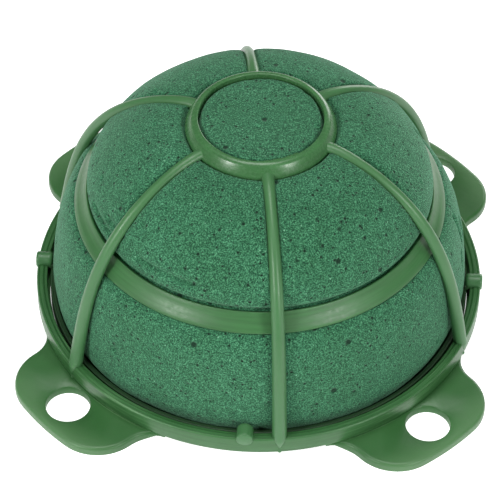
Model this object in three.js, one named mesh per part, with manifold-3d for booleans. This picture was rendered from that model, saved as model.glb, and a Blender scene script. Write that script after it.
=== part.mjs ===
// A half-ball of floral foam held in a plastic cage, for a florist's hanging or standing dome.
//
// Frame: millimetres, +Z up, the origin on the surface the dome stands on, under the middle of the rim.
// The foam sits in a round tray. A cage of six ribs, a middle band and a top ring stands over it on a rim.
// The rim stands on the roots of four flat ears with a fixing hole each, on the diagonals of X and Y.

import * as THREE from 'three';
import { mergeVertices } from 'three/addons/utils/BufferGeometryUtils.js';
import Module from 'manifold-3d';

// ---------------------------------------------------------------- driving dimensions

const CUT_GAP = 0.3; // air left between two pieces that touch or that are moulded together
const LIFT_GAP = 0.8; // air between the tray and the rim, which lets the cage lift off

const RIM_R = 60; // outer radius of the rim
const RIM_WALL = 2.8; // its thickness
const RIM_H = 4.7; // its height
const RIM_EDGE = 0.9; // rounding along its top edges

const RING_BORE_R = 16.2; // opening of the top ring
const RING_TOP = 64.3; // height of its lip
const RING_LIP = 1.1; // flat width of the lip
const RING_SKIRT = 3.4; // how far the sloping skirt reaches out from the bore
const RING_DROP = 3.2; // how far the skirt falls below the lip
const RING_BASE = 0.9; // thickness left at the edge of the skirt
const FOAM_RECESS = 2.4; // the foam in the ring lies this far below the lip

const RIB_COUNT = 6;
const RIB_TURN = THREE.MathUtils.degToRad(8.7); // the first rib stands this far round from -Y
const RIB_TOP_RADIUS = 1.35; // the ribs are round and grow thicker towards the rim
const RIB_FOOT_RADIUS = 1.8;
const RIB_SHOULDER = 0.8; // fullness at the ring, as a share of the way out to the rim
const RIB_SHOULDER_SLOPE = THREE.MathUtils.degToRad(-16.5);
const RIB_LEG = 0.47; // fullness at the rim, as a share of the way up to the ring
const RIB_LEG_SLOPE = THREE.MathUtils.degToRad(99.5);

const BAND_FOOT_Z = 36.1; // height of the lower edge of the middle band
const BAND_WIDTH = 5.8; // along its slope
const BAND_SLOPE = THREE.MathUtils.degToRad(52); // from level, or the ribs' own slope where that is less
const BAND_WALL = 1.4;

const EAR_COUNT = 4;
const EAR_LENGTH = 15.2; // how far the ears reach out past the rim
const EAR_WIDTH = 40;
const EAR_THICKNESS = 2.4;
const EAR_CORNER = 12.5; // radius of the two outer corners
const EAR_FILLET = 4; // radius of the hollow corners at the rim
const EAR_HOLE_D = 11.7;
const EAR_HOLE_OUT = 6.4; // how far outside the rim the middle of the hole lies

const PEG_COUNT = 4; // round pegs that lie across the rim, on X and Y
const PEG_RADIUS = 2.2;
const PEG_PROUD = 0.4; // how far they stand out past the rim

const TRAY_WALL = 1.4;
const TRAY_WALL_H = 6.3;
const TRAY_FLOOR = 1.6;
const NOSE_WIDTH = 4; // the tray has a nose behind each peg, which keeps the cage from turning
const NOSE_H = 7.2;
const DRAIN_COUNT = 6;
const DRAIN_D = 6;
const DRAIN_AT = 32; // distance of the drain holes from the middle

const FOAM_FOOT_INSET = 2.6; // the foam stands this far inside the tray's wall
const FOAM_WAIST_Z = 16.7; // height at which the foam is widest

// ---------------------------------------------------------------- fineness of the facets

const ROUND = 60; // sides of a full turn
const ROD_SIDES = 8;
const ROD_STEPS = 14;
const ARC = 5; // steps of a small rounded corner
const EAR_ARC = 10; // steps of each arc in the outline of an ear

// ---------------------------------------------------------------- sizes that follow from those

const RING_OUTER_R = RING_BORE_R + RING_SKIRT;
const RING_UNDERSIDE = RING_TOP - RING_DROP - RING_BASE;
const RIM_BORE_R = RIM_R - RIM_WALL;
const RIM_FOOT_Z = EAR_THICKNESS + CUT_GAP; // the rim stands on the ears
const RIM_TOP = RIM_FOOT_Z + RIM_H;
const TRAY_R = RIM_BORE_R - LIFT_GAP;
const TRAY_BORE_R = TRAY_R - TRAY_WALL;
const RIB_HEAD = new THREE.Vector3(RING_BORE_R + RING_LIP, 0, RING_TOP - RIB_TOP_RADIUS);
const RIB_FOOT = new THREE.Vector3(RIM_R - RIM_WALL / 2, 0, RIM_TOP + CUT_GAP);
const RIB_SPAN = RIB_FOOT.x - RIB_HEAD.x;
const RIB_RISE = RIB_HEAD.z - RIB_FOOT.z;
const EAR_REACH = RIM_R + EAR_LENGTH;

// ---------------------------------------------------------------- helpers

const wasm = await Module();
wasm.setup();

// A geometry with shared vertices and its faces pointing out.
function closed(geometry) {
  const bare = geometry.clone();
  bare.deleteAttribute('normal');
  bare.deleteAttribute('uv');
  const merged = mergeVertices(bare, 1e-3);
  const position = merged.getAttribute('position');
  const order = [];
  let volume = 0;
  const a = new THREE.Vector3();
  const b = new THREE.Vector3();
  const c = new THREE.Vector3();
  for (let i = 0; i < merged.index.count; i += 3) {
    const corner = [0, 1, 2].map((k) => merged.index.getX(i + k));
    if (new Set(corner).size < 3) continue;
    order.push(...corner);
    a.fromBufferAttribute(position, corner[0]);
    b.fromBufferAttribute(position, corner[1]);
    c.fromBufferAttribute(position, corner[2]);
    volume += a.dot(b.cross(c));
  }
  if (volume < 0) order.reverse();
  merged.setIndex(order);
  return merged;
}

function toSolid(geometry) {
  const shape = closed(geometry);
  return new wasm.Manifold(
    new wasm.Mesh({
      numProp: 3,
      vertProperties: new Float32Array(shape.getAttribute('position').array),
      triVerts: new Uint32Array(shape.index.array),
    }),
  );
}

function toGeometry(solid) {
  const mesh = solid.getMesh();
  const geometry = new THREE.BufferGeometry();
  geometry.setAttribute('position', new THREE.Float32BufferAttribute(mesh.vertProperties, 3));
  geometry.setIndex([...mesh.triVerts]);
  return geometry;
}

// Turns an outline of [radius, height] points round the Z axis. The outline closes on itself.
function turned(outline) {
  const points = [...outline, outline[0]].map(([r, z]) => new THREE.Vector2(r, z));
  return closed(new THREE.LatheGeometry(points, ROUND).rotateX(Math.PI / 2));
}

// Points of an arc in the outline of a turned piece, from one angle to another, in quarter turns.
function corner(r, z, radius, from, to) {
  return Array.from({ length: ARC + 1 }, (_, i) => {
    const angle = ((from + ((to - from) * i) / ARC) * Math.PI) / 2;
    return [r + radius * Math.cos(angle), z + radius * Math.sin(angle)];
  });
}

// A round rod that follows a curve lying in the XZ plane and changes evenly from one radius to the other.
function bentRod(curve, startRadius, endRadius, steps = ROD_STEPS) {
  const rod = new THREE.CylinderGeometry(endRadius, startRadius, 1, ROD_SIDES, steps);
  const position = rod.getAttribute('position');
  const sideways = new THREE.Vector3(0, 1, 0);
  for (let i = 0; i < position.count; i += 1) {
    const along = THREE.MathUtils.clamp(position.getY(i) + 0.5, 0, 1);
    const tangent = curve.getTangentAt(along);
    const across = new THREE.Vector3().crossVectors(tangent, sideways);
    const point = curve.getPointAt(along);
    point.addScaledVector(across, position.getX(i));
    point.addScaledVector(sideways, position.getZ(i));
    position.setXYZ(i, point.x, point.y, point.z);
  }
  return rod;
}

// The angle at which piece number i of a set of equal pieces stands.
function stationAngle(i, count, first) {
  return first + (i * 2 * Math.PI) / count;
}

const dome = new THREE.Group();

function place(name, geometry, material, angle = 0) {
  const mesh = new THREE.Mesh(geometry, material);
  mesh.name = name;
  mesh.rotation.z = angle;
  dome.add(mesh);
}

function plastic() {
  return new THREE.MeshStandardMaterial({ color: 0x5f935f, roughness: 0.42, metalness: 0 });
}

function darkPlastic() {
  return new THREE.MeshStandardMaterial({ color: 0x35583d, roughness: 0.55, metalness: 0 });
}

function foamMaterial() {
  return new THREE.MeshStandardMaterial({ color: 0x42825c, roughness: 0.95, metalness: 0 });
}

// ---------------------------------------------------------------- the line that the ribs follow

const ribLine = new THREE.CubicBezierCurve3(
  RIB_HEAD,
  new THREE.Vector3(
    RIB_HEAD.x + RIB_SPAN * RIB_SHOULDER * Math.cos(RIB_SHOULDER_SLOPE),
    0,
    RIB_HEAD.z + RIB_SPAN * RIB_SHOULDER * Math.sin(RIB_SHOULDER_SLOPE),
  ),
  new THREE.Vector3(
    RIB_FOOT.x + RIB_RISE * RIB_LEG * Math.cos(RIB_LEG_SLOPE),
    0,
    RIB_FOOT.z + RIB_RISE * RIB_LEG * Math.sin(RIB_LEG_SLOPE),
  ),
  RIB_FOOT,
);

// The share of the rib's length at which it passes a given height, found by halving.
function ribAtHeight(z) {
  let low = 0;
  let high = 1;
  for (let i = 0; i < 40; i += 1) {
    const middle = (low + high) / 2;
    if (ribLine.getPointAt(middle).z > z) low = middle;
    else high = middle;
  }
  return low;
}

// A point that lies inside the dome from the rib's axis, at right angles to the rib.
function insideRib(share, distance) {
  const point = ribLine.getPointAt(share);
  const tangent = ribLine.getTangentAt(share);
  return [point.x + tangent.z * distance, point.z - tangent.x * distance];
}

// ---------------------------------------------------------------- top ring

// The section is an upright lip round the bore with a skirt that slopes away outside it.
function ringOutline(grow) {
  return [
    [RING_BORE_R - grow, RING_UNDERSIDE - grow],
    [RING_OUTER_R + grow, RING_UNDERSIDE - grow],
    [RING_OUTER_R + grow, RING_UNDERSIDE + RING_BASE + grow],
    [RING_BORE_R + RING_LIP + grow, RING_TOP + grow],
    [RING_BORE_R - grow, RING_TOP + grow],
  ];
}

place('top_ring', turned(ringOutline(0)), plastic());

// ---------------------------------------------------------------- ribs

// Each rib starts inside the ring's section and is cut back to leave the gap there.
const ringWithoutBore = turned([
  [0, RING_UNDERSIDE - CUT_GAP],
  ...ringOutline(CUT_GAP).slice(1, 4),
  [0, RING_TOP + CUT_GAP],
]);
const wholeRib = bentRod(ribLine, RIB_TOP_RADIUS, RIB_FOOT_RADIUS);
const ribSolid = toSolid(wholeRib).subtract(toSolid(ringWithoutBore));
const ribGeometry = toGeometry(ribSolid);
for (let i = 0; i < RIB_COUNT; i += 1) {
  place(`rib_${i + 1}`, ribGeometry, plastic(), stationAngle(i, RIB_COUNT, RIB_TURN - Math.PI / 2));
}

// ---------------------------------------------------------------- middle band

// The lower edge of the band's outer face touches the ribs from inside, apart from the gap.
const bandShare = ribAtHeight(BAND_FOOT_Z);
const ribRadiusAtBand = THREE.MathUtils.lerp(RIB_TOP_RADIUS, RIB_FOOT_RADIUS, bandShare);
const [bandFootR, bandFootZ] = insideRib(bandShare, ribRadiusAtBand + CUT_GAP);
const bandFoot = ribLine.getPointAt(bandShare);
const bandHead = ribLine.getPointAt(ribAtHeight(BAND_FOOT_Z + BAND_WIDTH * Math.sin(BAND_SLOPE)));
const bandSlope = Math.min(BAND_SLOPE, Math.atan2(bandHead.z - bandFoot.z, bandFoot.x - bandHead.x));
const bandUp = [-Math.cos(bandSlope), Math.sin(bandSlope)];
const bandIn = [-Math.sin(bandSlope), -Math.cos(bandSlope)];

// A corner of the band's section: so far up its slope, so far in through its wall.
function bandCorner(up, inwards) {
  return [
    bandFootR + bandUp[0] * up + bandIn[0] * inwards,
    bandFootZ + bandUp[1] * up + bandIn[1] * inwards,
  ];
}

const BAND_EDGE = BAND_WALL / 4; // small bevel along the band's outer edges
place(
  'mid_band',
  turned([
    bandCorner(0, BAND_WALL),
    bandCorner(0, BAND_EDGE),
    bandCorner(BAND_EDGE, 0),
    bandCorner(BAND_WIDTH - BAND_EDGE, 0),
    bandCorner(BAND_WIDTH, BAND_EDGE),
    bandCorner(BAND_WIDTH, BAND_WALL),
  ]),
  plastic(),
);

// ---------------------------------------------------------------- rim

// The rim is an upright hoop with a rounded top. Under each rib a root runs on down its outer wall.
const hoop = toSolid(
  turned([
    [RIM_BORE_R, RIM_FOOT_Z],
    [RIM_R, RIM_FOOT_Z],
    ...corner(RIM_R - RIM_EDGE, RIM_TOP - RIM_EDGE, RIM_EDGE, 0, 1),
    ...corner(RIM_BORE_R + RIM_EDGE, RIM_TOP - RIM_EDGE, RIM_EDGE, 1, 2),
  ]),
);
const ROOT_TIP = 0.6; // the roots end this far above the rim's foot
const rootLine = new THREE.LineCurve3(
  new THREE.Vector3(RIM_R - RIB_FOOT_RADIUS / 2, 0, RIM_TOP - RIM_EDGE / 3),
  new THREE.Vector3(RIM_R, 0, RIM_FOOT_Z + ROOT_TIP),
);
let rim = hoop;
for (let i = 0; i < RIB_COUNT; i += 1) {
  const root = bentRod(rootLine, RIB_FOOT_RADIUS, RIB_TOP_RADIUS / 2, 1);
  root.rotateZ(stationAngle(i, RIB_COUNT, RIB_TURN - Math.PI / 2));
  rim = rim.add(toSolid(root));
}
place('rim_ring', toGeometry(rim), plastic());

// ---------------------------------------------------------------- ears

// The ear is drawn along +X and runs on under the rim to its bore. Its outer edge follows a circle about
// the dome's middle, and hollow corners lead its sides into the rim's outer face.
function earShape() {
  const half = EAR_WIDTH / 2;
  const filletX = Math.sqrt((RIM_R + EAR_FILLET) ** 2 - (half + EAR_FILLET) ** 2);
  const rimAngle = Math.atan2(half + EAR_FILLET, filletX);
  const toMiddle = rimAngle - Math.PI;
  const cornerX = Math.sqrt((EAR_REACH - EAR_CORNER) ** 2 - (half - EAR_CORNER) ** 2);
  const cornerAngle = Math.atan2(half - EAR_CORNER, cornerX);
  const shape = new THREE.Shape();
  shape.absarc(0, 0, RIM_BORE_R, rimAngle, -rimAngle, true);
  shape.absarc(filletX, -half - EAR_FILLET, EAR_FILLET, -toMiddle, Math.PI / 2, true);
  shape.absarc(cornerX, EAR_CORNER - half, EAR_CORNER, -Math.PI / 2, -cornerAngle, false);
  shape.absarc(0, 0, EAR_REACH, -cornerAngle, cornerAngle, false);
  shape.absarc(cornerX, half - EAR_CORNER, EAR_CORNER, cornerAngle, Math.PI / 2, false);
  shape.absarc(filletX, half + EAR_FILLET, EAR_FILLET, -Math.PI / 2, toMiddle, true);
  const hole = new THREE.Path();
  hole.absarc(RIM_R + EAR_HOLE_OUT, 0, EAR_HOLE_D / 2, 0, 2 * Math.PI, true);
  shape.holes.push(hole);
  return shape;
}

const earExtrusion = { depth: EAR_THICKNESS, bevelEnabled: false, curveSegments: EAR_ARC };
const earPlate = closed(new THREE.ExtrudeGeometry(earShape(), earExtrusion));
for (let i = 0; i < EAR_COUNT; i += 1) {
  place(`ear_${i + 1}`, earPlate, plastic(), stationAngle(i, EAR_COUNT, -Math.PI / 4));
}

// ---------------------------------------------------------------- pegs

// A peg is a short round bar across the rim, saddled over the hoop.
const pegLine = new THREE.LineCurve3(
  new THREE.Vector3(RIM_BORE_R, 0, RIM_TOP),
  new THREE.Vector3(RIM_R + PEG_PROUD, 0, RIM_TOP),
);
const hoopRoom = turned([
  [RIM_BORE_R - LIFT_GAP / 2, 0],
  [RIM_R + CUT_GAP, 0],
  ...corner(RIM_R - RIM_EDGE, RIM_TOP - RIM_EDGE, RIM_EDGE + CUT_GAP, 0, 1),
  [RIM_BORE_R - LIFT_GAP / 2, RIM_TOP + CUT_GAP],
]);
const pegSolid = toSolid(bentRod(pegLine, PEG_RADIUS, PEG_RADIUS, 1)).subtract(toSolid(hoopRoom));
for (let i = 0; i < PEG_COUNT; i += 1) {
  place(`peg_${i + 1}`, toGeometry(pegSolid), plastic(), stationAngle(i, PEG_COUNT, -Math.PI / 2));
}

// ---------------------------------------------------------------- tray

// A shallow dish with drain holes and, behind each peg, a nose that fills the gap to the rim.
let tray = toSolid(
  turned([
    [0, 0],
    [TRAY_R, 0],
    [TRAY_R, TRAY_WALL_H],
    [TRAY_BORE_R, TRAY_WALL_H],
    [TRAY_BORE_R, TRAY_FLOOR],
    [0, TRAY_FLOOR],
  ]),
);
const NOSE_DEPTH = TRAY_WALL + LIFT_GAP - CUT_GAP;
for (let i = 0; i < PEG_COUNT; i += 1) {
  const nose = new THREE.BoxGeometry(NOSE_DEPTH, NOSE_WIDTH, NOSE_H - TRAY_FLOOR / 2);
  nose.translate(TRAY_BORE_R + NOSE_DEPTH / 2, 0, (NOSE_H + TRAY_FLOOR / 2) / 2);
  nose.rotateZ(stationAngle(i, PEG_COUNT, -Math.PI / 2));
  tray = tray.add(toSolid(nose));
}
for (let i = 0; i < DRAIN_COUNT; i += 1) {
  const drain = new THREE.CylinderGeometry(DRAIN_D / 2, DRAIN_D / 2, 4 * TRAY_FLOOR, ROD_SIDES * 2);
  drain.rotateX(Math.PI / 2).translate(DRAIN_AT, 0, 0);
  drain.rotateZ(stationAngle(i, DRAIN_COUNT, 0));
  tray = tray.subtract(toSolid(drain));
}
place('base_tray', toGeometry(tray), darkPlastic());

// ---------------------------------------------------------------- foam

// The core of the foam stands inside the ribs. Its top is a flat disc in the ring with a step under the
// ring, its side follows the ribs down to the waist, and its foot is drawn in at the tray.
const FOAM_STEPS = 11;
const stepZ = RING_UNDERSIDE - CUT_GAP;
const foamStepShare = ribAtHeight(stepZ);
const foamWaistShare = ribAtHeight(FOAM_WAIST_Z);
const foamSide = Array.from({ length: FOAM_STEPS + 1 }, (_, i) => {
  const share = THREE.MathUtils.lerp(foamWaistShare, foamStepShare, i / FOAM_STEPS);
  return insideRib(share, THREE.MathUtils.lerp(RIB_TOP_RADIUS, RIB_FOOT_RADIUS, share) + CUT_GAP);
});
const footZ = TRAY_FLOOR + CUT_GAP;
const waist = new THREE.Vector2(...foamSide[0]);
const footCurve = new THREE.QuadraticBezierCurve(
  new THREE.Vector2(TRAY_BORE_R - FOAM_FOOT_INSET, footZ),
  new THREE.Vector2(waist.x, (footZ + waist.y) / 2),
  waist,
);
const foamBody = turned([
  [0, footZ],
  ...footCurve.getPoints(4).slice(0, -1).map((point) => [point.x, point.y]),
  ...foamSide,
  [RING_BORE_R - CUT_GAP, stepZ],
  [RING_BORE_R - CUT_GAP, RING_TOP - FOAM_RECESS],
  [0, RING_TOP - FOAM_RECESS],
]);
// Room for the band in its place and on its whole way up.
const bandBackR = bandCorner(BAND_WIDTH, BAND_WALL + CUT_GAP)[0];
const bandRoom = turned([
  bandCorner(-CUT_GAP, -BAND_WALL),
  bandCorner(-CUT_GAP, BAND_WALL + CUT_GAP),
  bandCorner(BAND_WIDTH, BAND_WALL + CUT_GAP),
  [bandBackR, RING_TOP],
  [RIM_R, RING_TOP],
  [RIM_R, bandCorner(-CUT_GAP, -BAND_WALL)[1]],
]);
place('foam_dome', toGeometry(toSolid(foamBody).subtract(toSolid(bandRoom))), foamMaterial());

export default dome;
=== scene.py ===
# %% [markdown]
# # A half-ball of floral foam in its plastic cage
#
# A florist pushes flower stems into a dome of green foam. The foam stands in a shallow round tray, and a
# thin moulded cage holds it down: a top ring, six ribs, a band half way up, and a rim with four flat ears
# for nails or wire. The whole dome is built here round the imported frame, which says how large each piece
# is and what it rides on. Every length below is in millimetres, and MM turns it into metres.

# %% The frame and the units
import math
import random

import bmesh
import bpy
import numpy as np
from mathutils import Matrix, Vector, noise


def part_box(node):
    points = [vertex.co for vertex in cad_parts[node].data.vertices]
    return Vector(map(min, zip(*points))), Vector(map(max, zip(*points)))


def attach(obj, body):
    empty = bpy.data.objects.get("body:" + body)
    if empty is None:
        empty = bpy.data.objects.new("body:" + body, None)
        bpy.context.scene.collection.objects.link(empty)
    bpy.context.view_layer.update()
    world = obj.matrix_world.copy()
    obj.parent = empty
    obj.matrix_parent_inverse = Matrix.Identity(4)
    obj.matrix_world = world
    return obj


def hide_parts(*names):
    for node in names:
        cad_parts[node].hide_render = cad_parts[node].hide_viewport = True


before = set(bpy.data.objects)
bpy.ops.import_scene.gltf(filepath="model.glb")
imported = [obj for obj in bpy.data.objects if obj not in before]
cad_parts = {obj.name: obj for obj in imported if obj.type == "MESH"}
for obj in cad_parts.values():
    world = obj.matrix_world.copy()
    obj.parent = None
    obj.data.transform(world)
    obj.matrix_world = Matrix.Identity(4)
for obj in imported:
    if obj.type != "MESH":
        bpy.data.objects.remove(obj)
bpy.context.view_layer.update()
MM = 0.001

# %% [markdown]
# ## Sizes that the frame gives
#
# A piece that is measured in the frame fits its neighbours without any trying. The low and high corners
# of a node are enough for round pieces: their middle is the Z axis, so the high corner's x is the radius.
# Walls, steps and counts, which a box doesn't show, are given one by one.

# %% Reading radii and heights
def outer_radius(node_name):
    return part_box(node_name)[1].x / MM


def lowest(node_name):
    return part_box(node_name)[0].z / MM


def highest(node_name):
    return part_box(node_name)[1].z / MM


RIM_R = outer_radius("rim_ring")
RIM_WALL = 2.8
RIM_HEIGHT = 4.7
RIM_FOOT = lowest("rim_ring")
RIM_TOP = RIM_FOOT + RIM_HEIGHT
RIM_BORE_R = RIM_R - RIM_WALL
RING_R = outer_radius("top_ring")
RING_TOP = highest("top_ring")
RING_UNDERSIDE = lowest("top_ring")
RING_WIDTH = 3.4
RING_LIP = 1.1
RING_BORE_R = RING_R - RING_WIDTH
BAND_R = outer_radius("mid_band")
BAND_LOW = lowest("mid_band")
FOAM_TOP = highest("foam_dome")
FOAM_FOOT = lowest("foam_dome")
TRAY_WALL_TOP = 5.9
EAR_THICKNESS = highest("ear_1")
EAR_COUNT = 4
PEG_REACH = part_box("peg_2")[1].x / MM
PEG_TOP = highest("peg_2")
print("rim", round(RIM_R, 1), "ring", round(RING_R, 1), "band", round(BAND_R, 1),
      "height", round(RING_TOP, 1))

# %% [markdown]
# ## Helpers for making a piece
#
# Each piece starts as a bmesh, is shaped by operators, and ends as one object at the origin. Merging
# doubles closes the seam of a spin, and the normals are then turned outwards. `shade_smooth` with sharp
# edges kept by angle lets rounded corners look round and crisp edges stay crisp.

# %% From a bmesh to a finished piece
WELD = 0.002


def finished(name, bm, material, body, nodes, sharp=50):
    bmesh.ops.scale(bm, vec=(MM, MM, MM), verts=bm.verts)
    bmesh.ops.remove_doubles(bm, verts=bm.verts, dist=WELD * MM)
    bmesh.ops.recalc_face_normals(bm, faces=bm.faces)
    open_edges = sum(not edge.is_manifold for edge in bm.edges)
    mesh = bpy.data.meshes.new(name)
    bm.to_mesh(mesh)
    bm.free()
    mesh.materials.append(material)
    mesh.shade_smooth()
    mesh.set_sharp_from_angle(angle=math.radians(sharp))
    piece = bpy.data.objects.new(name, mesh)
    bpy.context.scene.collection.objects.link(piece)
    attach(piece, body)
    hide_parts(*nodes)
    print(name, "has", len(mesh.polygons), "faces,", open_edges, "open edges")
    return piece


# %% [markdown]
# A turned piece is drawn as half a cut through it, radius against height. Each corner carries its own
# rounding, and a vertex bevel turns it into an arc before the outline is spun round the Z axis.

# %% Turning an outline round the Z axis
ROUND_STEPS = 180
CORNER_STEPS = 4


def turned(bm, corners):
    outline = [bm.verts.new((radius, 0, height)) for radius, height, _ in corners]
    bm.faces.new(outline)
    for corner, (_, _, rounding) in zip(outline, corners):
        if rounding:
            bmesh.ops.bevel(bm, geom=[corner], offset=rounding, offset_type="OFFSET",
                            segments=CORNER_STEPS, profile=0.5, affect="VERTICES", material=-1)
    bmesh.ops.delete(bm, geom=bm.faces[:], context="FACES_ONLY")
    bmesh.ops.spin(bm, geom=bm.verts[:] + bm.edges[:], cent=(0, 0, 0), axis=(0, 0, 1),
                   angle=2 * math.pi, steps=ROUND_STEPS, use_merge=True)


# %% [markdown]
# A rod is a ring of vertices that is extruded from station to station. Each station is a matrix: where
# the section lies, which way it faces and how wide it is. Two vertices at the sides stand a little proud,
# which is the fine parting line that the two halves of the mould leave along every rib.

# %% Drawing a rod through stations
ROD_SIDES = 20
PARTING = 1.07


def station(centre, along, half_width, half_height):
    along = along.normalized()
    sideways = Vector((0, 1, 0))
    outward = sideways.cross(along).normalized()
    turn = Matrix((sideways, outward, along)).transposed().to_4x4()
    return Matrix.Translation(centre) @ turn @ Matrix.Diagonal((half_width, half_height, 1, 1))


def rod(bm, stations, parting=PARTING):
    made = bmesh.ops.create_circle(bm, radius=1, segments=ROD_SIDES, cap_ends=True)
    ring = made["verts"]
    for vert in ring:
        at_the_side = abs(vert.co.x) > 0.999
        if at_the_side:
            vert.co.x *= parting
    bmesh.ops.transform(bm, matrix=stations[0], verts=ring)
    loop = [edge for edge in bm.edges if all(vert in set(ring) for vert in edge.verts)]
    for last, new in zip(stations, stations[1:]):
        grown = bmesh.ops.extrude_edge_only(bm, edges=loop)["geom"]
        ring = [item for item in grown if isinstance(item, bmesh.types.BMVert)]
        loop = [item for item in grown if isinstance(item, bmesh.types.BMEdge)]
        loop = [edge for edge in loop if all(vert in set(ring) for vert in edge.verts)]
        bmesh.ops.transform(bm, matrix=new @ last.inverted(), verts=ring)
    bmesh.ops.contextual_create(bm, geom=loop)


# %% [markdown]
# ## Finishes
#
# Two kinds of finish cover the dome: moulded plastic, painted a little lighter or darker from piece to
# piece as painted light and shade, and floral foam. Both are built from nodes on Object coordinates, so
# their grain keeps its real size on every piece. The node helpers keep the graphs short enough to read.

# %% Small helpers for node graphs
def new_material(name):
    material = bpy.data.materials.new(name)
    material.use_nodes = True
    tree = material.node_tree
    shader = tree.nodes["Principled BSDF"]
    return material, tree, shader


def add(tree, kind, **settings):
    node = tree.nodes.new(kind)
    for key, value in settings.items():
        setattr(node, key, value)
    return node


def object_noise(tree, size_mm, detail=2.0, roughness=0.5):
    place = add(tree, "ShaderNodeTexCoord")
    grain = add(tree, "ShaderNodeTexNoise")
    grain.inputs["Scale"].default_value = 1 / (size_mm * MM)
    grain.inputs["Detail"].default_value = detail
    grain.inputs["Roughness"].default_value = roughness
    tree.links.new(place.outputs["Object"], grain.inputs["Vector"])
    return grain.outputs["Fac"]


def ramp(tree, source, stops):
    shades = add(tree, "ShaderNodeValToRGB")
    bar = shades.color_ramp
    for position, colour in stops[2:]:
        bar.elements.new(position)
    for element, (position, colour) in zip(bar.elements, sorted(stops)):
        element.position = position
        element.color = (*colour, 1)
    tree.links.new(source, shades.inputs["Fac"])
    return shades.outputs["Color"]


def blended(tree, share, first, second, way="MIX"):
    mix = add(tree, "ShaderNodeMix", data_type="RGBA", blend_type=way)
    for source, socket in ((share, mix.inputs[0]), (first, mix.inputs[6]), (second, mix.inputs[7])):
        if isinstance(source, (int, float)):
            socket.default_value = source
        elif isinstance(source, tuple):
            socket.default_value = (*source, 1)
        else:
            tree.links.new(source, socket)
    return mix.outputs[2]


def math_node(tree, operation, first, second=0.0):
    step = add(tree, "ShaderNodeMath", operation=operation)
    for source, socket in ((first, step.inputs[0]), (second, step.inputs[1])):
        if isinstance(source, (int, float)):
            socket.default_value = source
        else:
            tree.links.new(source, socket)
    return step.outputs[0]


def bump(tree, shader, height, depth_mm, strength=1.0):
    relief = add(tree, "ShaderNodeBump")
    relief.inputs["Strength"].default_value = strength
    relief.inputs["Distance"].default_value = depth_mm * MM
    tree.links.new(height, relief.inputs["Height"])
    tree.links.new(relief.outputs["Normal"], shader.inputs["Normal"])


# %% [markdown]
# ### Moulded plastic
#
# The cage is injection-moulded polypropylene with a satin skin. A soft cloudiness and a bump finer than a
# tenth of a millimetre keep the skin from looking like paint. Two more things follow from where a point
# lies round the middle of the dome. The ears are painted paler towards their outer edge, as painted light
# for the light that shines through the thin plastic there. Rim, band and ring carry faint lines along the
# way round, where the melt was drawn, and near the ears some are pale: both come from one noise that is
# stretched out round the dome.

# %% Where a point lies, for the plastic
def reach_and_turn(tree):
    place = add(tree, "ShaderNodeTexCoord")
    parts = add(tree, "ShaderNodeSeparateXYZ")
    tree.links.new(place.outputs["Object"], parts.inputs[0])
    x, y, z = parts.outputs
    squares = math_node(tree, "ADD", math_node(tree, "MULTIPLY", x, x), math_node(tree, "MULTIPLY", y, y))
    reach = math_node(tree, "MULTIPLY", math_node(tree, "SQRT", squares), 1 / MM)
    turn = math_node(tree, "ARCTAN2", y, x)
    return reach, turn, math_node(tree, "MULTIPLY", z, 1 / MM)


def eased(tree, value, start, end, low=0.0, high=1.0):
    curve = add(tree, "ShaderNodeMapRange", interpolation_type="SMOOTHSTEP")
    tree.links.new(value, curve.inputs["Value"])
    for socket, number in (("From Min", start), ("From Max", end), ("To Min", low), ("To Max", high)):
        curve.inputs[socket].default_value = number
    return curve.outputs["Result"]


THREADS_PER_TURN = 3.0
THREADS_PER_MM = 1.5


def flow_threads(tree, reach, turn, height):
    along = add(tree, "ShaderNodeCombineXYZ")
    tree.links.new(math_node(tree, "MULTIPLY", turn, THREADS_PER_TURN), along.inputs[0])
    tree.links.new(math_node(tree, "MULTIPLY", reach, THREADS_PER_MM), along.inputs[1])
    tree.links.new(math_node(tree, "MULTIPLY", height, THREADS_PER_MM), along.inputs[2])
    threads = add(tree, "ShaderNodeTexNoise")
    threads.inputs["Scale"].default_value = 1.0
    threads.inputs["Detail"].default_value = 3.0
    tree.links.new(along.outputs[0], threads.inputs["Vector"])
    return threads.outputs["Fac"]


def flow_marks(tree, threads, reach, turn, height):
    streak = eased(tree, threads, 0.50, 0.68)
    round_ears = math_node(tree, "COSINE", math_node(tree, "MULTIPLY", turn, EAR_COUNT))
    near_ears = eased(tree, round_ears, 0.1, -0.9)
    past_bore = eased(tree, reach, RIM_BORE_R - 0.7, RIM_BORE_R + 0.3)
    short_of_ears = eased(tree, reach, RIM_R + 0.6, RIM_R + 0.2)
    on_rim = math_node(tree, "MULTIPLY", past_bore, short_of_ears)
    low_down = eased(tree, height, RIM_TOP + 1.6, RIM_TOP + 0.6)
    shown = math_node(tree, "MULTIPLY", streak, near_ears)
    return math_node(tree, "MULTIPLY", shown, math_node(tree, "MULTIPLY", on_rim, low_down))


# %% The plastic of the cage and of the tray
THREAD_CONTRAST = 0.10
# Where the ears' painted edge glow starts and ends, and how strong it is.
EDGE_GLOW_FROM = RIM_R + 6.0
EDGE_GLOW_TO = RIM_R + 15.4
EDGE_GLOW_SHARE = 0.52
MARK_SHARE = 0.55


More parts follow.
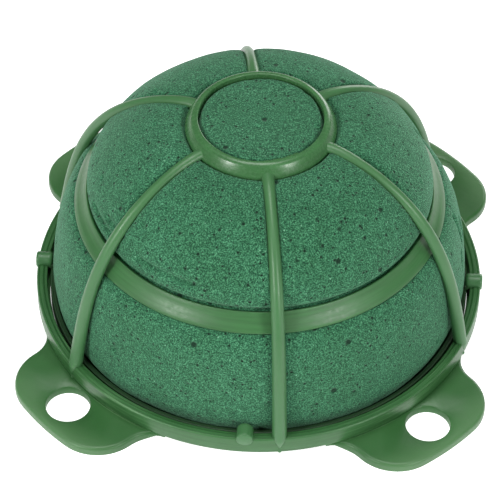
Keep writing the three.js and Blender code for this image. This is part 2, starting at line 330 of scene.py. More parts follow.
def moulded_plastic(name, deep, light, glow_and_mark_colour, roughness, drawn_round=1.0):
    material, tree, shader = new_material(name)
    reach, turn, height = reach_and_turn(tree)
    clouds = object_noise(tree, 14, detail=3)
    body = ramp(tree, clouds, [(0.3, deep), (0.7, light)])
    threads = flow_threads(tree, reach, turn, height)
    darkest = (1 - THREAD_CONTRAST * drawn_round,) * 3
    lightest = (1 + THREAD_CONTRAST * drawn_round,) * 3
    lines = ramp(tree, threads, [(0.35, darkest), (0.65, lightest)])
    lined = blended(tree, 1.0, body, lines, "MULTIPLY")
    # Painted light: the ears are painted paler towards their outer edge, for light shining through the thin
    # plastic.
    edge = eased(tree, reach, EDGE_GLOW_FROM, EDGE_GLOW_TO, 0.0, EDGE_GLOW_SHARE)
    streaks = math_node(tree, "MULTIPLY", flow_marks(tree, threads, reach, turn, height), MARK_SHARE)
    # The painted edge glow joins the real flow marks here, and both take the one pale colour.
    glow_and_flow_marks = math_node(tree, "MAXIMUM", edge, streaks)
    colour = blended(tree, glow_and_flow_marks, lined, glow_and_mark_colour)
    tree.links.new(colour, shader.inputs["Base Color"])
    skin = object_noise(tree, 0.9, detail=3)
    gloss = ramp(tree, skin, [(0.2, (roughness - 0.05,) * 3), (0.8, (roughness + 0.09,) * 3)])
    tree.links.new(gloss, shader.inputs["Roughness"])
    shader.inputs["Specular IOR Level"].default_value = 0.42
    shader.inputs["Subsurface Weight"].default_value = 0.12
    shader.inputs["Subsurface Radius"].default_value = (0.4, 1.0, 0.4)
    shader.inputs["Subsurface Scale"].default_value = 1.2 * MM
    waves = object_noise(tree, 7, detail=1)
    skin_and_waves = math_node(tree, "ADD", math_node(tree, "MULTIPLY", skin, 0.15), waves)
    drawn = math_node(tree, "MULTIPLY", threads, 0.25 * drawn_round)
    skin_and_waves = math_node(tree, "ADD", skin_and_waves, drawn)
    bump(tree, shader, skin_and_waves, 0.18, 0.5)
    return material


# Painted light: the ring's copy of the one cage plastic is painted lighter than the band's.
RING_PLASTIC_LIT = moulded_plastic("ring_plastic_painted_light", (0.044, 0.142, 0.048), (0.056, 0.168, 0.060),
                               (0.13, 0.27, 0.12), 0.25)
BAND_PLASTIC = moulded_plastic("band_plastic_skin", (0.036, 0.130, 0.040), (0.046, 0.152, 0.050),
                               (0.13, 0.27, 0.12), 0.38)
# Painted shade: the rim's copy of the one cage plastic is painted darker than the band's.
RIM_PLASTIC_SHADED = moulded_plastic("rim_plastic_painted_shade", (0.030, 0.117, 0.032), (0.040, 0.138, 0.042),
                              (0.14, 0.28, 0.13), 0.38)
# Painted light: the copy for the ribs and pegs is painted lighter than the band's.
ROD_PLASTIC_LIT = moulded_plastic("rod_plastic_painted_light", (0.050, 0.158, 0.056), (0.062, 0.180, 0.068),
                              (0.13, 0.27, 0.12), 0.36, drawn_round=0.0)
# Painted shade: the ears' copy is painted darker than the band's.
EAR_PLASTIC_SHADED = moulded_plastic("ear_plastic_painted_shade", (0.026, 0.106, 0.026), (0.034, 0.124, 0.034),
                              (0.12, 0.25, 0.11), 0.38, drawn_round=0.0)
# Painted shade: the tray's copy is painted darkest, for the shade in the narrow gap between foam and rim.
TRAY_PLASTIC_SHADED = moulded_plastic("tray_plastic_painted_shade", (0.022, 0.062, 0.024), (0.028, 0.074, 0.029),
                               (0.08, 0.15, 0.07), 0.40)
print("plastic for the rings, rods, ears and tray")

# %% [markdown]
# ### Floral foam
#
# Phenolic foam is a mass of cells about half a millimetre across. Cut cells catch the light on one side
# and hold shadow on the other, so the surface is a fine salt-and-pepper green with open pores here and
# there. Two noises make the speckle, a cell pattern makes the pores, and both feed the bump as well, so
# that colour and relief agree. The pores are painted nearly black, as painted shade inside them, and
# sparse bright dots are painted glints. Broad, faint clouds stand for handling marks and dust.

# %% The foam's finish
SMALLEST_PORE = 0.4
PORE_EDGE = 14.0


def pores(tree, spacing_mm, width, chance):
    place = add(tree, "ShaderNodeTexCoord")
    cells = add(tree, "ShaderNodeTexVoronoi", feature="F1")
    cells.inputs["Scale"].default_value = 1 / (spacing_mm * MM)
    tree.links.new(place.outputs["Object"], cells.inputs["Vector"])
    luck = add(tree, "ShaderNodeSeparateColor")
    tree.links.new(cells.outputs["Color"], luck.inputs["Color"])
    open_pore = math_node(tree, "LESS_THAN", luck.outputs[0], chance)
    size = math_node(tree, "MULTIPLY_ADD", luck.outputs[1], width * (1 - SMALLEST_PORE))
    size.node.inputs[2].default_value = width * SMALLEST_PORE
    inside = math_node(tree, "SUBTRACT", size, cells.outputs["Distance"])
    edge = math_node(tree, "MULTIPLY", inside, PORE_EDGE)
    edge.node.use_clamp = True
    return math_node(tree, "MULTIPLY", edge, open_pore)


def floral_foam():
    material, tree, shader = new_material("floral_foam_cells")
    fine = object_noise(tree, 0.36, detail=2, roughness=0.65)
    speckle = ramp(tree, fine, [(0.36, (0.008, 0.048, 0.024)), (0.66, (0.086, 0.300, 0.153)),
                                (0.50, (0.025, 0.131, 0.060))])
    coarse = object_noise(tree, 1.6, detail=2)
    mottle = ramp(tree, coarse, [(0.36, (0.88, 0.90, 0.88)), (0.64, (1.12, 1.09, 1.11))])
    mottled = blended(tree, 1.0, speckle, mottle, "MULTIPLY")
    clouds = object_noise(tree, 16, detail=3)
    shade = ramp(tree, clouds, [(0.3, (0.88, 0.90, 0.88)), (0.7, (1.10, 1.06, 1.10))])
    dusty = blended(tree, 1.0, mottled, shade, "MULTIPLY")
    # Painted glints: sparse bright dots painted into the colour, for cell walls that catch the light.
    glints = pores(tree, 1.5, 0.17, 0.40)
    sparkling = blended(tree, glints, dusty, (0.17, 0.40, 0.25))
    small = pores(tree, 1.8, 0.26, 0.9)
    large = pores(tree, 5.0, 0.20, 0.5)
    holes = math_node(tree, "MAXIMUM", small, large)
    # Painted shade: the open pores are painted nearly black, for the shade inside them.
    painted_pore_shade = math_node(tree, "MULTIPLY", holes, 0.95)
    colour = blended(tree, painted_pore_shade, sparkling, (0.002, 0.018, 0.008))
    tree.links.new(colour, shader.inputs["Base Color"])
    shader.inputs["Roughness"].default_value = 0.92
    shader.inputs["Specular IOR Level"].default_value = 0.2
    shader.inputs["Sheen Weight"].default_value = 0.22
    shader.inputs["Sheen Roughness"].default_value = 0.5
    shader.inputs["Sheen Tint"].default_value = (0.55, 1.0, 0.70, 1)
    relief = math_node(tree, "SUBTRACT", fine, holes)
    bump(tree, shader, relief, 0.35, 0.9)
    return material


FLORAL_FOAM = floral_foam()
print("foam with cells, pores and glints")

# %% [markdown]
# ## The line that the ribs follow
#
# The ribs leave the ring almost level, turn down over the shoulder and come down nearly upright on the
# rim. One cubic curve with four control points says all of that. The frame gives its two ends, and the
# two handles are shares of the way across and the way down, so the curve follows if the frame changes.

# %% The rib curve
RIB_COUNT = 6
RIB_TURN = math.radians(8.7)
RIB_TOP_RADIUS = 1.35
RIB_FOOT_RADIUS = 1.8
RIB_OVER_RIM = 0.3
RIB_HEAD = Vector((RING_BORE_R + RING_LIP, 0, RING_TOP - RIB_TOP_RADIUS))
RIB_FOOT = Vector((RIM_R - RIM_WALL / 2, 0, RIM_TOP + RIB_OVER_RIM))
SHOULDER_SLOPE = math.radians(-16.5)
SHOULDER_SHARE = 0.8
LEG_SLOPE = math.radians(99.5)
LEG_SHARE = 0.47
rib_span = RIB_FOOT.x - RIB_HEAD.x
rib_rise = RIB_HEAD.z - RIB_FOOT.z


def pointing(slope):
    return Vector((math.cos(slope), 0, math.sin(slope)))


SHOULDER = RIB_HEAD + pointing(SHOULDER_SLOPE) * rib_span * SHOULDER_SHARE
LEG = RIB_FOOT + pointing(LEG_SLOPE) * rib_rise * LEG_SHARE


def rib_point(share):
    rest = 1 - share
    return (RIB_HEAD * rest ** 3 + SHOULDER * 3 * rest ** 2 * share
            + LEG * 3 * rest * share ** 2 + RIB_FOOT * share ** 3)


def rib_direction(share):
    step = 0.002
    return rib_point(min(share + step, 1)) - rib_point(max(share - step, 0))


def rib_radius(share):
    return RIB_TOP_RADIUS + (RIB_FOOT_RADIUS - RIB_TOP_RADIUS) * share


def rib_angle(number):
    return RIB_TURN - math.pi / 2 + number * 2 * math.pi / RIB_COUNT


print("each rib spans", round(rib_span, 1), "mm outwards and falls", round(rib_rise, 1), "mm")

# %% [markdown]
# ## The middle band
#
# The band is a strip bent into a cone that touches the ribs from inside. Its outer face is slightly
# hollow, so the lower half catches more light than the upper half. The frame's box of the band places its
# foot, and its slope, width and wall give the rest of its section.

# %% Where the band lies
BAND_SLOPE = math.radians(52)
BAND_WIDTH = 5.8
BAND_WALL = 1.4
BAND_HOLLOW = 0.30
BAND_FOOT = Vector((BAND_R, 0, BAND_LOW + BAND_WALL * math.cos(BAND_SLOPE)))
BAND_UP = Vector((-math.cos(BAND_SLOPE), 0, math.sin(BAND_SLOPE)))
BAND_IN = Vector((-math.sin(BAND_SLOPE), 0, -math.cos(BAND_SLOPE)))


def band_corner(up, inwards, rounding):
    point = BAND_FOOT + BAND_UP * up + BAND_IN * inwards
    return point.x, point.z, rounding


band = bmesh.new()
turned(band, [
    band_corner(0.1, BAND_WALL, 0.2),
    band_corner(0.0, 0.1, 0.45),
    band_corner(1.5, 0.0, 0.7),
    band_corner(3.4, BAND_HOLLOW, 1.2),
    band_corner(BAND_WIDTH, 0.0, 0.28),
    band_corner(BAND_WIDTH, BAND_WALL, 0.2),
])
finished("cage_band", band, BAND_PLASTIC, "cage", ["mid_band"])

# %% [markdown]
# ## The top ring
#
# The ring has an upright bore, a narrow lip and a skirt that slopes away to a thin edge on the foam. A
# turned section with a generous rounding between lip and skirt gives the long soft highlights that a
# moulded ring shows. In front the bore carries a little ragged flash where the mould did not quite close.

# %% Turning the ring
RING_BASE = 0.9
FLASH_FROM = -84
FLASH_TO = -52
FLASH_MOST = 0.04
ring = bmesh.new()
turned(ring, [
    (RING_BORE_R, RING_UNDERSIDE, 0.2),
    (RING_R, RING_UNDERSIDE, 0.15),
    (RING_R, RING_UNDERSIDE + RING_BASE, 0.5),
    (RING_BORE_R + RING_LIP + 0.35, RING_TOP, 0.9),
    (RING_BORE_R, RING_TOP, 0.3),
])
flash_luck = random.Random(7)
for vert in ring.verts:
    turn = math.degrees(math.atan2(vert.co.y, vert.co.x))
    at_mouth = vert.co.xy.length < RING_BORE_R + 0.25 and vert.co.z > RING_TOP - 0.4
    if at_mouth and FLASH_FROM < turn < FLASH_TO:
        vert.co.xy *= 1 - flash_luck.uniform(0, FLASH_MOST)
finished("cage_top_ring", ring, RING_PLASTIC_LIT, "cage", ["top_ring"])

# %% [markdown]
# ## The ribs
#
# A rib is a round rod that grows from ring to rim. At the ring it spreads a little where it is moulded
# into the skirt, and at the rim it runs on down the outer wall and narrows to a point. Below it a small
# nub stands at the rim's bottom edge, where the mould let the air out.

# %% Six ribs from one list of stations
RIB_STEPS = 36
HEAD_FLARE = 0.35
HEAD_SUNK = 1.7
HEAD_FADE = 22
NUB_RADIUS = 0.62


def rib_stations():
    stations = []
    for step in range(RIB_STEPS + 1):
        share = step / RIB_STEPS
        radius = rib_radius(share)
        head = math.exp(-share * HEAD_FADE)
        flare = HEAD_FLARE * head
        sunk = Vector((0, 0, -HEAD_SUNK * head))
        stations.append(station(rib_point(share) + sunk, rib_direction(share), radius + flare, radius))
    return stations


ROOT = [
    (-1.0, 4.1, 1.70, 1.70),
    (-0.8, 3.3, 1.35, 1.45),
    (-0.55, 2.4, 0.85, 1.05),
    (-0.4, 1.5, 0.40, 0.60),
    (-0.35, 1.0, 0.12, 0.25),
]


def rib_with_root():
    bm = bmesh.new()
    stations = rib_stations()
    down = Vector((0.12, 0, -1))
    for outward, above_foot, half_width, half_height in ROOT:
        centre = Vector((RIM_R + outward, 0, RIM_FOOT + above_foot))
        stations.append(station(centre, down, half_width, half_height))
    rod(bm, stations)
    nub_place = Matrix.Translation((RIM_R - 0.35, 0, RIM_FOOT - 0.1))
    bmesh.ops.create_icosphere(bm, subdivisions=3, radius=NUB_RADIUS, matrix=nub_place)
    return bm


for number in range(RIB_COUNT):
    rib = rib_with_root()
    bmesh.ops.rotate(rib, cent=(0, 0, 0), matrix=Matrix.Rotation(rib_angle(number), 3, "Z"),
                     verts=rib.verts)
    finished(f"cage_rib_{number + 1}", rib, ROD_PLASTIC_LIT, "cage", [f"rib_{number + 1}"])

# %% [markdown]
# ## The rim
#
# The rim is an upright hoop that stands on the ears. Its top has a fine step along the outside, which
# draws the thin bright line seen all the way round, and a lower step inside. A small shelf at its foot
# reaches in and narrows the gap to the tray. The foot sinks a little into the ears. It is turned like the
# ring.

# %% Turning the rim
RIM_SUNK = 0.15
RIM_LOW = EAR_THICKNESS - RIM_SUNK
SHELF_REACH = 0.65
SHELF_HEIGHT = 0.7
INNER_STEP = 0.55
rim = bmesh.new()
turned(rim, [
    (RIM_BORE_R - SHELF_REACH, RIM_LOW, 0.1),
    (RIM_R, RIM_LOW, 0.4),
    (RIM_R, RIM_TOP - 0.3, 0.25),
    (RIM_R - 0.45, RIM_TOP, 0.12),
    (RIM_R - 0.72, RIM_TOP - 0.22, 0.08),
    (RIM_BORE_R + 1.1, RIM_TOP - 0.15, 0.25),
    (RIM_BORE_R + 0.8, RIM_TOP - INNER_STEP, 0.2),
    (RIM_BORE_R, RIM_TOP - INNER_STEP, 0.25),
    (RIM_BORE_R, RIM_LOW + SHELF_HEIGHT, 0),
    (RIM_BORE_R - SHELF_REACH, RIM_LOW + SHELF_HEIGHT, 0.1),
])
finished("cage_rim", rim, RIM_PLASTIC_SHADED, "cage", ["rim_ring"], sharp=35)

# %% [markdown]
# ## The ears
#
# An ear is a flat plate with two big outer corners, hollow corners where it meets the rim, and a round
# hole. Its outline is a chain of arcs, made one face. The plate is extruded from it, and a few small
# insets, each a little higher, roll its upper edge over. The hole comes last: both flat faces are filled
# again round a circle, and the circles are bridged by the wall of the hole. In the hollow corners the
# underside rises, so the plate runs out smoothly into the foot of the rim.

# %% The outline of an ear
EAR_HALF = 20.0
EAR_REACH = RIM_R + 15.2
EAR_HOLE_R = 5.85
EAR_HOLE_AT = RIM_R + 6.4
EAR_CORNER = 12.5
EAR_FILLET = 8.0
EAR_ROOT_R = RIM_R - 0.45
EAR_ROLL = 0.95
rim_middle = RIM_R - RIM_WALL / 2


def arc(x, y, radius, start, end, steps):
    angles = [start + (end - start) * step / steps for step in range(steps + 1)]
    return [(x + radius * math.cos(angle), y + radius * math.sin(angle)) for angle in angles]


def ear_outline():
    fillet_x = math.sqrt((EAR_ROOT_R + EAR_FILLET) ** 2 - (EAR_HALF + EAR_FILLET) ** 2)
    tangent = math.atan2(EAR_HALF + EAR_FILLET, fillet_x)
    corner_x = math.sqrt((EAR_REACH - EAR_CORNER) ** 2 - (EAR_HALF - EAR_CORNER) ** 2)
    corner = math.atan2(EAR_HALF - EAR_CORNER, corner_x)
    quarter = math.pi / 2
    return (arc(0, 0, rim_middle, tangent, -tangent, 24)
            + arc(fillet_x, -EAR_HALF - EAR_FILLET, EAR_FILLET, math.pi - tangent, quarter, 8)
            + arc(corner_x, EAR_CORNER - EAR_HALF, EAR_CORNER, -quarter, -corner, 12)
            + arc(0, 0, EAR_REACH, -corner, corner, 10)[1:-1]
            + arc(corner_x, EAR_HALF - EAR_CORNER, EAR_CORNER, corner, quarter, 12)
            + arc(fillet_x, EAR_HALF + EAR_FILLET, EAR_FILLET, -quarter, tangent - math.pi, 8))


# %% Giving it thickness, a rolled edge and a hole
ROLL_STEPS = 5
HOLE_SIDES = 48
HOLE_BREAK = 0.25
EAR_THINNEST = 0.1


def rolled(bm, face, radius, turns):
    for turn in range(turns):
        start = math.pi / 2 * turn / turns
        end = math.pi / 2 * (turn + 1) / turns
        inwards = radius * (math.cos(start) - math.cos(end))
        upwards = radius * (math.sin(end) - math.sin(start))
        bmesh.ops.inset_region(bm, faces=[face], thickness=inwards, depth=upwards, use_even_offset=True)
    bmesh.ops.inset_region(bm, faces=[face], thickness=0.3, depth=0, use_even_offset=True)


def hole_edge(bm, x, y, height, radius):
    made = bmesh.ops.create_circle(bm, radius=radius, segments=HOLE_SIDES, cap_ends=False,
                                   matrix=Matrix.Translation((x, y, height)))
    verts = set(made["verts"])
    return [edge for edge in bm.edges if edge.verts[0] in verts and edge.verts[1] in verts]


def face_round_hole(bm, face, radius, height):
    outline = face.edges[:]
    bmesh.ops.delete(bm, geom=[face], context="FACES_ONLY")
    mouth = hole_edge(bm, EAR_HOLE_AT, 0, height, radius)
    bmesh.ops.triangle_fill(bm, edges=outline + mouth, use_beauty=True, use_dissolve=False)
    return mouth


def ear_plate():
    bm = bmesh.new()
    low = bm.faces.new([bm.verts.new((x, y, 0)) for x, y in ear_outline()])
    made = bmesh.ops.extrude_face_region(bm, geom=[low], use_keep_orig=True)["geom"]
    top = [item for item in made if isinstance(item, bmesh.types.BMFace)][0]
    bmesh.ops.translate(bm, vec=(0, 0, EAR_THICKNESS - EAR_ROLL), verts=top.verts)
    bmesh.ops.recalc_face_normals(bm, faces=bm.faces)
    rolled(bm, top, EAR_ROLL, ROLL_STEPS)
    top_mouth = face_round_hole(bm, top, EAR_HOLE_R + HOLE_BREAK, EAR_THICKNESS)
    top_throat = hole_edge(bm, EAR_HOLE_AT, 0, EAR_THICKNESS - HOLE_BREAK, EAR_HOLE_R)
    low_mouth = face_round_hole(bm, low, EAR_HOLE_R, 0)
    bmesh.ops.bridge_loops(bm, edges=top_mouth + top_throat)
    bmesh.ops.bridge_loops(bm, edges=top_throat + low_mouth)
    hollow = (EAR_HALF + EAR_FILLET) * EAR_ROOT_R / (EAR_ROOT_R + EAR_FILLET) - EAR_HALF
    for vert in bm.verts:
        share = min(max((abs(vert.co.y) - EAR_HALF) / hollow, 0), 1)
        if vert.co.z < 0.01 and share > 0:
            vert.co.z = (EAR_THICKNESS - EAR_THINNEST) * share * share * (3 - 2 * share)
    return bm


for number in range(EAR_COUNT):
    ear = ear_plate()
    angle = number * 2 * math.pi / EAR_COUNT - math.pi / 4
    bmesh.ops.rotate(ear, cent=(0, 0, 0), matrix=Matrix.Rotation(angle, 3, "Z"), verts=ear.verts)
    finished(f"cage_ear_{number + 1}", ear, EAR_PLASTIC_SHADED, "cage", [f"ear_{number + 1}"])

# %% [markdown]
# ## The pegs
#
# Four short round bars lie across the rim. Their inner ends are domed and their outer ends are flat with
# a broken edge. The same rod helper makes them, with its stations running outwards.

# %% Four pegs
PEG_RADIUS = PEG_TOP - RIM_TOP
PEG_COUNT = 4
PEG_PROFILE = [(0.0, 0.30), (0.12, 0.62), (0.4, 0.88), (0.8, 1.0), (1.5, 0.97), (3.4, 0.97), (4.0, 1.0),
               (4.35, 0.97), (4.6, 0.84)]


def peg():
    bm = bmesh.new()
    start = PEG_REACH - PEG_PROFILE[-1][0]
    stations = []
    for outward, share in PEG_PROFILE:
        centre = Vector((start + outward, 0, RIM_TOP))
        stations.append(station(centre, Vector((1, 0, 0)), PEG_RADIUS * share, PEG_RADIUS * share))
    rod(bm, stations, parting=1.0)
    return bm


for number in range(PEG_COUNT):
    bar = peg()
    angle = number * 2 * math.pi / PEG_COUNT - math.pi / 2
    bmesh.ops.rotate(bar, cent=(0, 0, 0), matrix=Matrix.Rotation(angle, 3, "Z"), verts=bar.verts)
    finished(f"cage_peg_{number + 1}", bar, ROD_PLASTIC_LIT, "cage", [f"peg_{number + 1}"])

# %% [markdown]
# ## The tray
#
# The tray is a round dish under the foam. Its wall stands a hair inside the rim, so the cage can lift
# away. The dish is turned as an open section. Its floor is then filled in, above and below, round six
# drain holes whose circles are bridged by short walls. A nose behind each peg fills the gap to the rim.

# %% Turning the tray
TRAY_GAP = 0.8
TRAY_R = RIM_BORE_R - TRAY_GAP
TRAY_WALL = 1.4
TRAY_SOLE = 0.3
TRAY_FLOOR = 1.6
TRAY_FLOOR_R = TRAY_R - 4.0
TRAY_STEP = 0.2
DRAIN_COUNT = 6
DRAIN_R = 3.0
DRAIN_AT = 32.0
NOSE_TOP = 7.2
NOSE_SIZE = (1.1, 4.0, 2.4)


def ring_of_edges(bm, radius, height):
    def lies_there(vert):
        return abs(vert.co.xy.length - radius) < 0.01 and abs(vert.co.z - height) < 0.01
    return [edge for edge in bm.edges if all(lies_there(vert) for vert in edge.verts)]


def drain_edges(bm, height):
    places = [number * 2 * math.pi / DRAIN_COUNT for number in range(DRAIN_COUNT)]
    return [hole_edge(bm, DRAIN_AT * math.cos(turn), DRAIN_AT * math.sin(turn), height, DRAIN_R)
            for turn in places]


tray = bmesh.new()
turned(tray, [
    (TRAY_FLOOR_R, TRAY_SOLE, 0),
    (TRAY_R - 3.6, 0.0, 0.1),
    (TRAY_R, 0.0, 0.3),
    (TRAY_R, TRAY_WALL_TOP, 0.25),
    (TRAY_R - 0.55, TRAY_WALL_TOP, 0.1),
    (TRAY_R - 0.65, TRAY_WALL_TOP - TRAY_STEP, 0.1),
    (TRAY_R - TRAY_WALL, TRAY_WALL_TOP - TRAY_STEP, 0.2),
    (TRAY_R - TRAY_WALL, TRAY_FLOOR, 0.3),
    (TRAY_FLOOR_R, TRAY_FLOOR, 0),
])
inner_wall = [face for face in tray.faces
              if abs(face.calc_center_median().xy.length - TRAY_FLOOR_R) < 0.1]
bmesh.ops.delete(tray, geom=inner_wall, context="FACES")
bmesh.ops.remove_doubles(tray, verts=tray.verts, dist=0.001)
below = drain_edges(tray, TRAY_SOLE)
above = drain_edges(tray, TRAY_FLOOR)
for level, holes in ((TRAY_SOLE, below), (TRAY_FLOOR, above)):
    outline = ring_of_edges(tray, TRAY_FLOOR_R, level)
    bmesh.ops.triangle_fill(tray, edges=outline + sum(holes, []), use_beauty=True, use_dissolve=False)
for low_edge, high_edge in zip(below, above):
    bmesh.ops.bridge_loops(tray, edges=low_edge + high_edge)
for number in range(PEG_COUNT):
    nose_place = Matrix.Rotation(number * 2 * math.pi / PEG_COUNT, 4, "Z")
    nose_place = nose_place @ Matrix.Translation((TRAY_R - 0.15, 0, NOSE_TOP - NOSE_SIZE[2] / 2))
    nose = bmesh.ops.create_cube(tray, size=1, matrix=nose_place @ Matrix.Diagonal((*NOSE_SIZE, 1)))
    nose_edges = [edge for edge in tray.edges if set(edge.verts) <= set(nose["verts"])]
    bmesh.ops.bevel(tray, geom=nose_edges, offset=0.2, segments=2, profile=0.5, affect="EDGES", material=-1)
finished("tray", tray, TRAY_PLASTIC_SHADED, "base", ["base_tray"])

# %% [markdown]
# ## The foam
#
# The dome is cut from a block and sanded, then squeezed under the cage. The free shape is one formula:
# a rounded dome under a flatter crown. A fine icosphere gives even triangles with no pole, so the same
# grain of detail is possible everywhere. Its upper half is kept, wrapped onto the dome, and then pressed
# in wherever the ring, the band and the ribs lie, with the soft lips that squeezed foam shows.

# %% The free shape of the dome
FOAM_WAIST_R = 55.6
FOAM_SHOULDER = FOAM_TOP + 0.75
DISC_RISE = 1.45
FOAM_CROWN = 68.0
SIDE_POWER = 2.031
CROWN_POWER = 2.6
CROWN_FALL = 1.05e-4
CROWN_BLEND = 1.6
FOOT_DRAWN = 3.2
FOOT_HEIGHT = 8.8


def soft_lower(first, second, softness):
    gap = np.clip(0.5 + 0.5 * (second - first) / softness, 0, 1)
    return second * (1 - gap) + first * gap - softness * gap * (1 - gap)


def free_dome(tilt):
    radius = FOAM_WAIST_R * np.sin(tilt) ** (2 / SIDE_POWER)
    upright = np.maximum(np.cos(tilt), 0) ** (2 / CROWN_POWER)
    height = FOAM_FOOT + (FOAM_CROWN - FOAM_FOOT) * upright
    crown = FOAM_SHOULDER - CROWN_FALL * radius ** 3
    height = soft_lower(height, crown, CROWN_BLEND)
    below = np.clip((FOAM_FOOT + FOOT_HEIGHT - height) / FOOT_HEIGHT, 0, 1)
    return radius - FOOT_DRAWN * below ** 2, height


def outward_normal(tilt):
    step = 1e-3
    r0, z0 = free_dome(np.clip(tilt - step, 1e-4, math.pi / 2))
    r1, z1 = free_dome(np.clip(tilt + step, 1e-4, math.pi / 2))
    length = np.hypot(r1 - r0, z1 - z0) + 1e-12
    return -(z1 - z0) / length, (r1 - r0) / length


# %% How deep each rib presses in
FOAM_CLEAR = 0.12
CURVE_STEPS = 240
RIB_REACH = 9
LIP_WIDTH = 0.5
RIB_SAG = 0.35
SAG_WIDTH = 3.2


def rib_press(radius, height, azimuth, out_r, out_z):
    shares = np.linspace(0, 1, CURVE_STEPS)
    line = np.array([rib_point(share) for share in shares])
    thick = rib_radius(shares) + FOAM_CLEAR
    depth = np.zeros_like(radius)
    for number in range(RIB_COUNT):
        turn = azimuth - rib_angle(number)
        across = radius * np.sin(turn)
        near = np.flatnonzero((np.abs(across) < RIB_REACH) & (np.cos(turn) > 0) & (radius > RING_BORE_R))
        ahead = (radius * np.cos(turn))[near]
        gap_r = line[:, 0][None, :] - ahead[:, None]
        gap_z = line[:, 2][None, :] - height[near][:, None]
        closest = np.argmin(gap_r ** 2 + gap_z ** 2, axis=1)
        rows = np.arange(len(near))
        above = gap_r[rows, closest] * out_r[near] + gap_z[rows, closest] * out_z[near]
        rib = thick[closest]
        side = np.abs(across[near])
        under = above - np.sqrt(np.clip(rib ** 2 - side ** 2, 0, None))
        groove = np.where(side < rib, np.clip(-under, 0, None), 0)
        lip = np.clip(-above, 0, None) * np.exp(-np.clip(side - rib, 0, None) / LIP_WIDTH)
        sag = RIB_SAG * np.clip(rib - above, 0, 1.5) * np.exp(-(side / SAG_WIDTH) ** 2)
        depth[near] = np.maximum(depth[near], np.maximum(groove, np.maximum(lip, sag)))
    return depth


# %% How deep the band and the ring press in
CLOSE_SHARE = 0.42
CLOSE_FADE = 0.45
WIDE_FADE = 4.0
BAND_MARGIN = 0.15
BAND_ONLY_PAST = 30


def band_press(radius, height):
    from_foot_r = radius - BAND_FOOT.x
    from_foot_z = height - BAND_FOOT.z
    up = from_foot_r * BAND_UP.x + from_foot_z * BAND_UP.z
    inwards = from_foot_r * BAND_IN.x + from_foot_z * BAND_IN.z
    full = np.clip(BAND_WALL + FOAM_CLEAR - inwards, 0, 6)
    past = np.maximum(np.maximum(-BAND_MARGIN - up, up - BAND_WIDTH - BAND_MARGIN), 0)
    share = CLOSE_SHARE * np.exp(-past / CLOSE_FADE) + (1 - CLOSE_SHARE) * np.exp(-past / WIDE_FADE)
    return full * np.where(radius > BAND_ONLY_PAST, share, 0)


def ring_press(radius, height):
    past = np.maximum(np.maximum(RING_BORE_R - 0.35 - radius, radius - RING_R - 0.25), 0)
    outside = radius > RING_BORE_R
    share = np.where(outside, np.exp(-past / 0.28), np.exp(-past / 0.2))
    return np.clip(height - RING_UNDERSIDE + FOAM_CLEAR, 0, None) * share


# %% [markdown]
# Handling leaves its own marks: three shallow arcs just above the band where a wider band once pressed,
# short upright dents on one side, and some pores too large to be left to the finish. Each is a small
# dent with a soft edge. Arcs and dents lie at an angle round the dome, in degrees, and at a height. The
# pores' places are drawn at random.

# %% Creases, dents and open pores
CREASES = [(-162, -140, 45.0, 1.0, 0.7), (-133, -106, 45.6, 1.0, 0.65), (-152, -138, 47.2, 0.8, 0.6)]
CREASE_END = math.radians(2.5)
DENTS = [(18, 39.2, 50.2, 1.2), (-2, 23.7, 33.7, 1.6), (2, 21.7, 29.7, 1.4), (-6, 16.7, 24.7, 1.3)]
DENT_LEAN = 0.12
DENT_WIDTH = 0.7
PORE_COUNT = 40
PORE_SEED = 4
PORE_WIDTHS = (0.45, 0.85)
PORE_DEPTH = 1.1


def creases(azimuth, height):
    depth = np.zeros_like(height)
    for start, end, level, deep, width in CREASES:
        middle = math.radians((start + end) / 2)
        half = math.radians((end - start) / 2)
        turn = np.abs((azimuth - middle + math.pi) % (2 * math.pi) - math.pi)
        along = np.clip((half - turn) / CREASE_END, 0, 1)
        depth += deep * along * np.exp(-((height - level) / width) ** 2)
    return depth


def dents(azimuth, height, radius):
    depth = np.zeros_like(height)
    for angle, low, high, deep in DENTS:
        turn = (azimuth - math.radians(angle) + math.pi) % (2 * math.pi) - math.pi
        lean = (height - low) * DENT_LEAN
        across = turn * radius - lean
        along = np.clip((height - low) / 2, 0, 1) * np.clip((high - height) / 2, 0, 1)
        depth += deep * along * np.exp(-(across / DENT_WIDTH) ** 2)
    return depth


def open_pores(points):
    chance = random.Random(PORE_SEED)
    depth = np.zeros(len(points))
    for _ in range(PORE_COUNT):
        centre = points[chance.randrange(len(points))]
        width = chance.uniform(*PORE_WIDTHS)
        away = np.linalg.norm(points - centre, axis=1)
        depth = np.maximum(depth, width * PORE_DEPTH * np.exp(-(away / width) ** 2))
    return depth


# %% Wrapping the half-ball and pressing it in
FOAM_FINENESS = 8
SWELLS = ((17, 0.30), (5, 0.10))


def swelling(point):
    return sum(noise.noise(Vector(point) / size) * depth for size, depth in SWELLS)


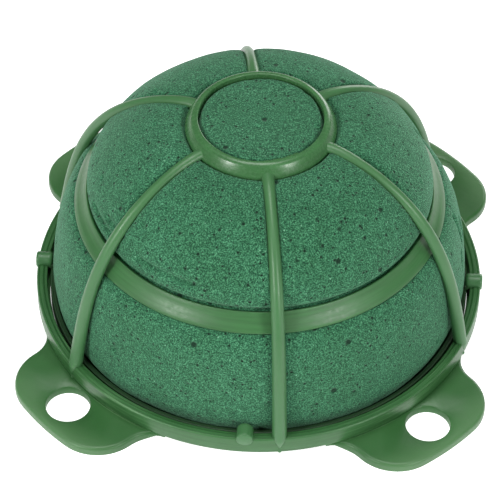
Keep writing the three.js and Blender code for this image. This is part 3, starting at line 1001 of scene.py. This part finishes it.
foam_bm = bmesh.new()
bmesh.ops.create_icosphere(foam_bm, subdivisions=FOAM_FINENESS, radius=1)
bmesh.ops.bisect_plane(foam_bm, geom=foam_bm.verts[:] + foam_bm.edges[:] + foam_bm.faces[:],
                       plane_co=(0, 0, 0), plane_no=(0, 0, -1), clear_outer=True, dist=1e-5)
unit = np.array([vert.co for vert in foam_bm.verts])
tilt = np.arccos(np.clip(unit[:, 2], 0, 1))
azimuth = np.arctan2(unit[:, 1], unit[:, 0])
radius, height = free_dome(tilt)
out_r, out_z = outward_normal(tilt)
depth = rib_press(radius, height, azimuth, out_r, out_z)
depth = np.maximum(depth, band_press(radius, height))
ring_depth = ring_press(radius, height)
clear = (depth < 0.3) & (radius > 3)
surface = np.stack([radius * np.cos(azimuth), radius * np.sin(azimuth), height], axis=1)
marks = creases(azimuth, height) + dents(azimuth, height, radius)
marks = np.maximum(marks, open_pores(surface[clear])[np.cumsum(clear) - 1] * clear)
swell = np.array([swelling(point) for point in surface])
seated = np.clip((height - FOAM_FOOT) / 3, 0, 1)
inward = (depth + marks - swell * np.exp(-depth)) * seated
pressed_r = radius - out_r * inward
pressed_z = np.minimum(height - out_z * inward, height) - ring_depth
flat_disc = radius < RING_BORE_R - 0.3
pressed_z = np.where(flat_disc, np.minimum(pressed_z, FOAM_SHOULDER) + DISC_RISE, pressed_z)
for vert, wide, angle, level in zip(foam_bm.verts, pressed_r, azimuth, pressed_z):
    vert.co = (wide * math.cos(angle), wide * math.sin(angle), max(level, FOAM_FOOT))
open_edge = [edge for edge in foam_bm.edges if edge.is_boundary]
bmesh.ops.contextual_create(foam_bm, geom=open_edge)
foam = finished("foam", foam_bm, FLORAL_FOAM, "base", ["foam_dome"], sharp=180)

# %% [markdown]
# ## Floor, light and camera
#
# The dome stands on a plain white floor in a light tent: a dim white sky all round, with two soft lamps in
# front, one overhead and a weaker one behind. The camera stands well back with a long lens and looks down
# at about half a right angle, so the ellipses of rim, band and ring keep nearly the same shape.

# %% Floor
FLOOR_SIZE = 4000
floor_bm = bmesh.new()
bmesh.ops.create_grid(floor_bm, x_segments=1, y_segments=1, size=FLOOR_SIZE / 2 * MM)
floor_mesh = bpy.data.meshes.new("floor")
floor_bm.to_mesh(floor_mesh)
floor_bm.free()
floor_paint, _, floor_shader = new_material("floor_paint")
floor_shader.inputs["Base Color"].default_value = (0.8, 0.8, 0.8, 1)
floor_shader.inputs["Roughness"].default_value = 0.9
floor_shader.inputs["Emission Color"].default_value = (1, 1, 1, 1)
floor_shader.inputs["Emission Strength"].default_value = 0.76
floor_mesh.materials.append(floor_paint)
floor = bpy.data.objects.new("floor", floor_mesh)
bpy.context.scene.collection.objects.link(floor)

# %% Light
world = bpy.data.worlds.new("light_tent")
bpy.context.scene.world = world
world.use_nodes = True
world.node_tree.nodes["Background"].inputs["Color"].default_value = (1, 1, 1, 1)
world.node_tree.nodes["Background"].inputs["Strength"].default_value = 0.13


def soft_lamp(name, place_mm, target_mm, size_mm, watts):
    lamp = bpy.data.lights.new(name, "AREA")
    lamp.shape = "SQUARE"
    lamp.size = size_mm * MM
    lamp.energy = watts
    holder = bpy.data.objects.new(name, lamp)
    holder.location = Vector(place_mm) * MM
    aim = Vector(target_mm) * MM - holder.location
    holder.rotation_euler = aim.to_track_quat("-Z", "Y").to_euler()
    bpy.context.scene.collection.objects.link(holder)


soft_lamp("left_lamp", (-450, -460, 400), (0, 0, 30), 150, 2.7)
soft_lamp("right_lamp", (470, -460, 400), (0, 0, 30), 150, 2.3)
soft_lamp("top_lamp", (-40, 20, 850), (0, 0, 30), 420, 3.9)
soft_lamp("back_lamp", (280, 640, 210), (0, 0, 30), 300, 1.7)

# %% Camera
CAMERA_OUT = 516.2
CAMERA_UP = 547.0
CAMERA_AZIMUTH = math.radians(-87.13)
CAMERA_DOWN = math.radians(45.85)
CAMERA_ASIDE = math.radians(0.27)
CAMERA_ROLL = math.radians(0.69)
lens = bpy.data.cameras.new("camera")
lens.lens = 198.5
lens.sensor_width = 36
camera = bpy.data.objects.new("camera", lens)
camera_place = Vector((math.cos(CAMERA_AZIMUTH) * CAMERA_OUT, math.sin(CAMERA_AZIMUTH) * CAMERA_OUT,
                       CAMERA_UP))
heading = CAMERA_AZIMUTH + math.pi / 2 + CAMERA_ASIDE
camera.matrix_world = (Matrix.Translation(camera_place * MM) @ Matrix.Rotation(heading, 4, "Z")
                       @ Matrix.Rotation(math.pi / 2 - CAMERA_DOWN, 4, "X")
                       @ Matrix.Rotation(CAMERA_ROLL, 4, "Z"))
bpy.context.scene.collection.objects.link(camera)
bpy.context.scene.camera = camera
bpy.context.scene.view_settings.view_transform = "Standard"
